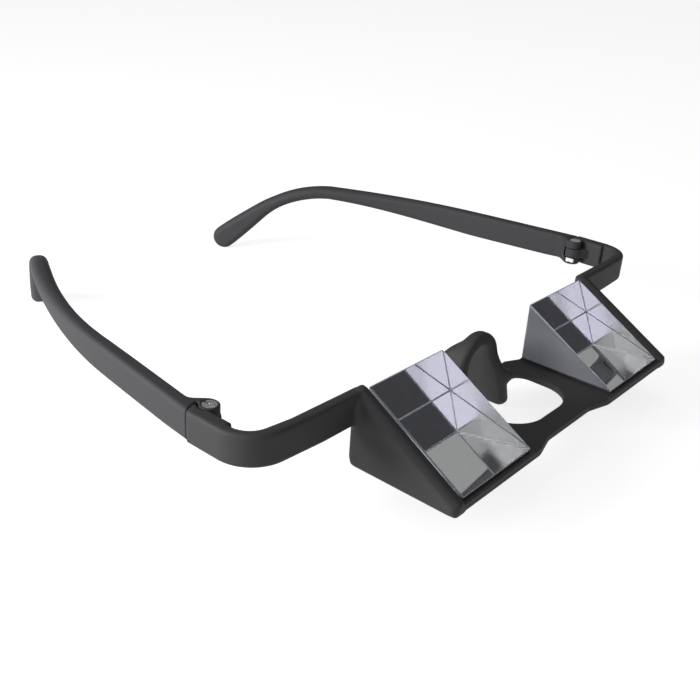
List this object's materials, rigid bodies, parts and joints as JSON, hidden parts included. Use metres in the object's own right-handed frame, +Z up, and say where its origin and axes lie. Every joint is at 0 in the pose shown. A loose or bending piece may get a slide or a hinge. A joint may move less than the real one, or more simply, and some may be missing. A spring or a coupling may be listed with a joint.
{
  "type": "belay glasses",
  "caption": "Belay glasses: glass prisms on a black moulded frame with a nose saddle turn the view upwards; the temples fold on screw hinges.",
  "frame": {"origin": "on the surface that the glasses stand on, below the middle of the box round the open glasses", "axes": "+X towards the wearer's left, +Y back along the temples, +Z up as worn; the prisms face -Y"},
  "size_m": [0.1628, 0.1724, 0.0281],
  "materials": {
    "frame_plastic": "fine matte moulded texture, black",
    "temple_plastic": "fine matte soft-touch texture, black",
    "prism_glass": "polished optical glass with ground sides",
    "mirror_backing": "silvered, with a protective paint behind",
    "adhesive": "cured dark adhesive",
    "hinge_steel": "bright machined steel"
  },
  "bodies": {
    "front": {"front_frame": "frame_plastic", "right_prism": "prism_glass", "left_prism": "prism_glass", "right_mirror_backing": "mirror_backing", "left_mirror_backing": "mirror_backing", "right_prism_bond": "adhesive", "left_prism_bond": "adhesive"},
    "right_side": {"right_temple": "temple_plastic", "right_hinge_screw": "hinge_steel", "right_hinge_nut": "hinge_steel"},
    "left_side": {"left_temple": "temple_plastic", "left_hinge_screw": "hinge_steel", "left_hinge_nut": "hinge_steel"}
  },
  "joints": [
    {"name": "right_temple_fold", "type": "hinge", "parent": "front", "child": "right_side", "pos_m": [-0.0761, -0.04106, 0.0243], "axis": [0, 0, -1], "range_deg": [0, 68]},
    {"name": "left_temple_fold", "type": "hinge", "parent": "front", "child": "left_side", "pos_m": [0.0761, -0.04106, 0.0243], "axis": [0, 0, 1], "range_deg": [0, 78]}
  ]
}
